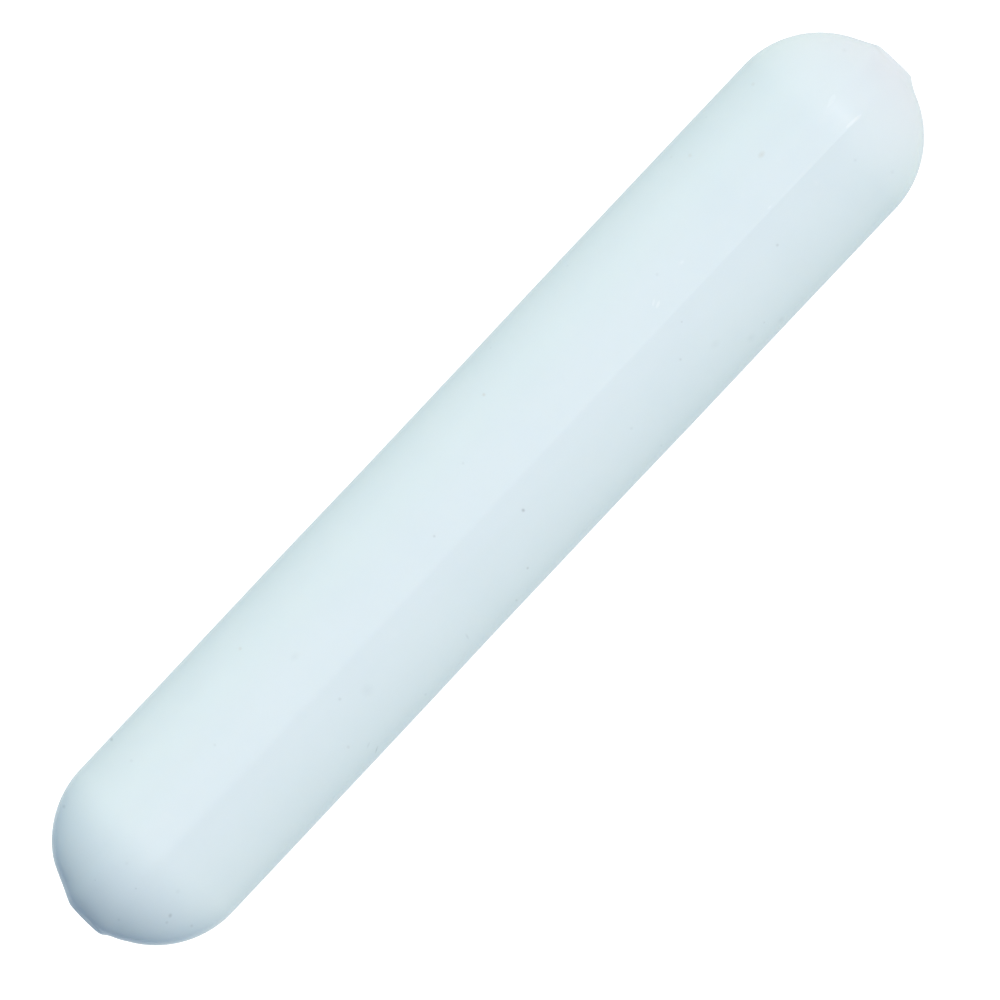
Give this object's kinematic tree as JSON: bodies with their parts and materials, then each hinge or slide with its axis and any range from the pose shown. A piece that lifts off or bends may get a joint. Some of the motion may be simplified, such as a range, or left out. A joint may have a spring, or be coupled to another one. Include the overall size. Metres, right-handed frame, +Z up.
{
  "type": "magnetic stir bar",
  "caption": "Large white cylindrical magnetic stir bar with domed ends, a flat land along each side and a small flat boss on each tip.",
  "frame": {"origin": "centre of the lower land's flat, on the surface that the bar lies on, below the middle of the bar", "axes": "+X along the bar, +Y across it, +Z up, out of the upper land"},
  "size_m": [0.152, 0.027, 0.0273],
  "materials": {
    "ptfe": "satin",
    "alnico": "matte"
  },
  "bodies": {
    "root": {"ptfe_jacket": "ptfe", "bar_magnet": "alnico"}
  },
  "joints": []
}
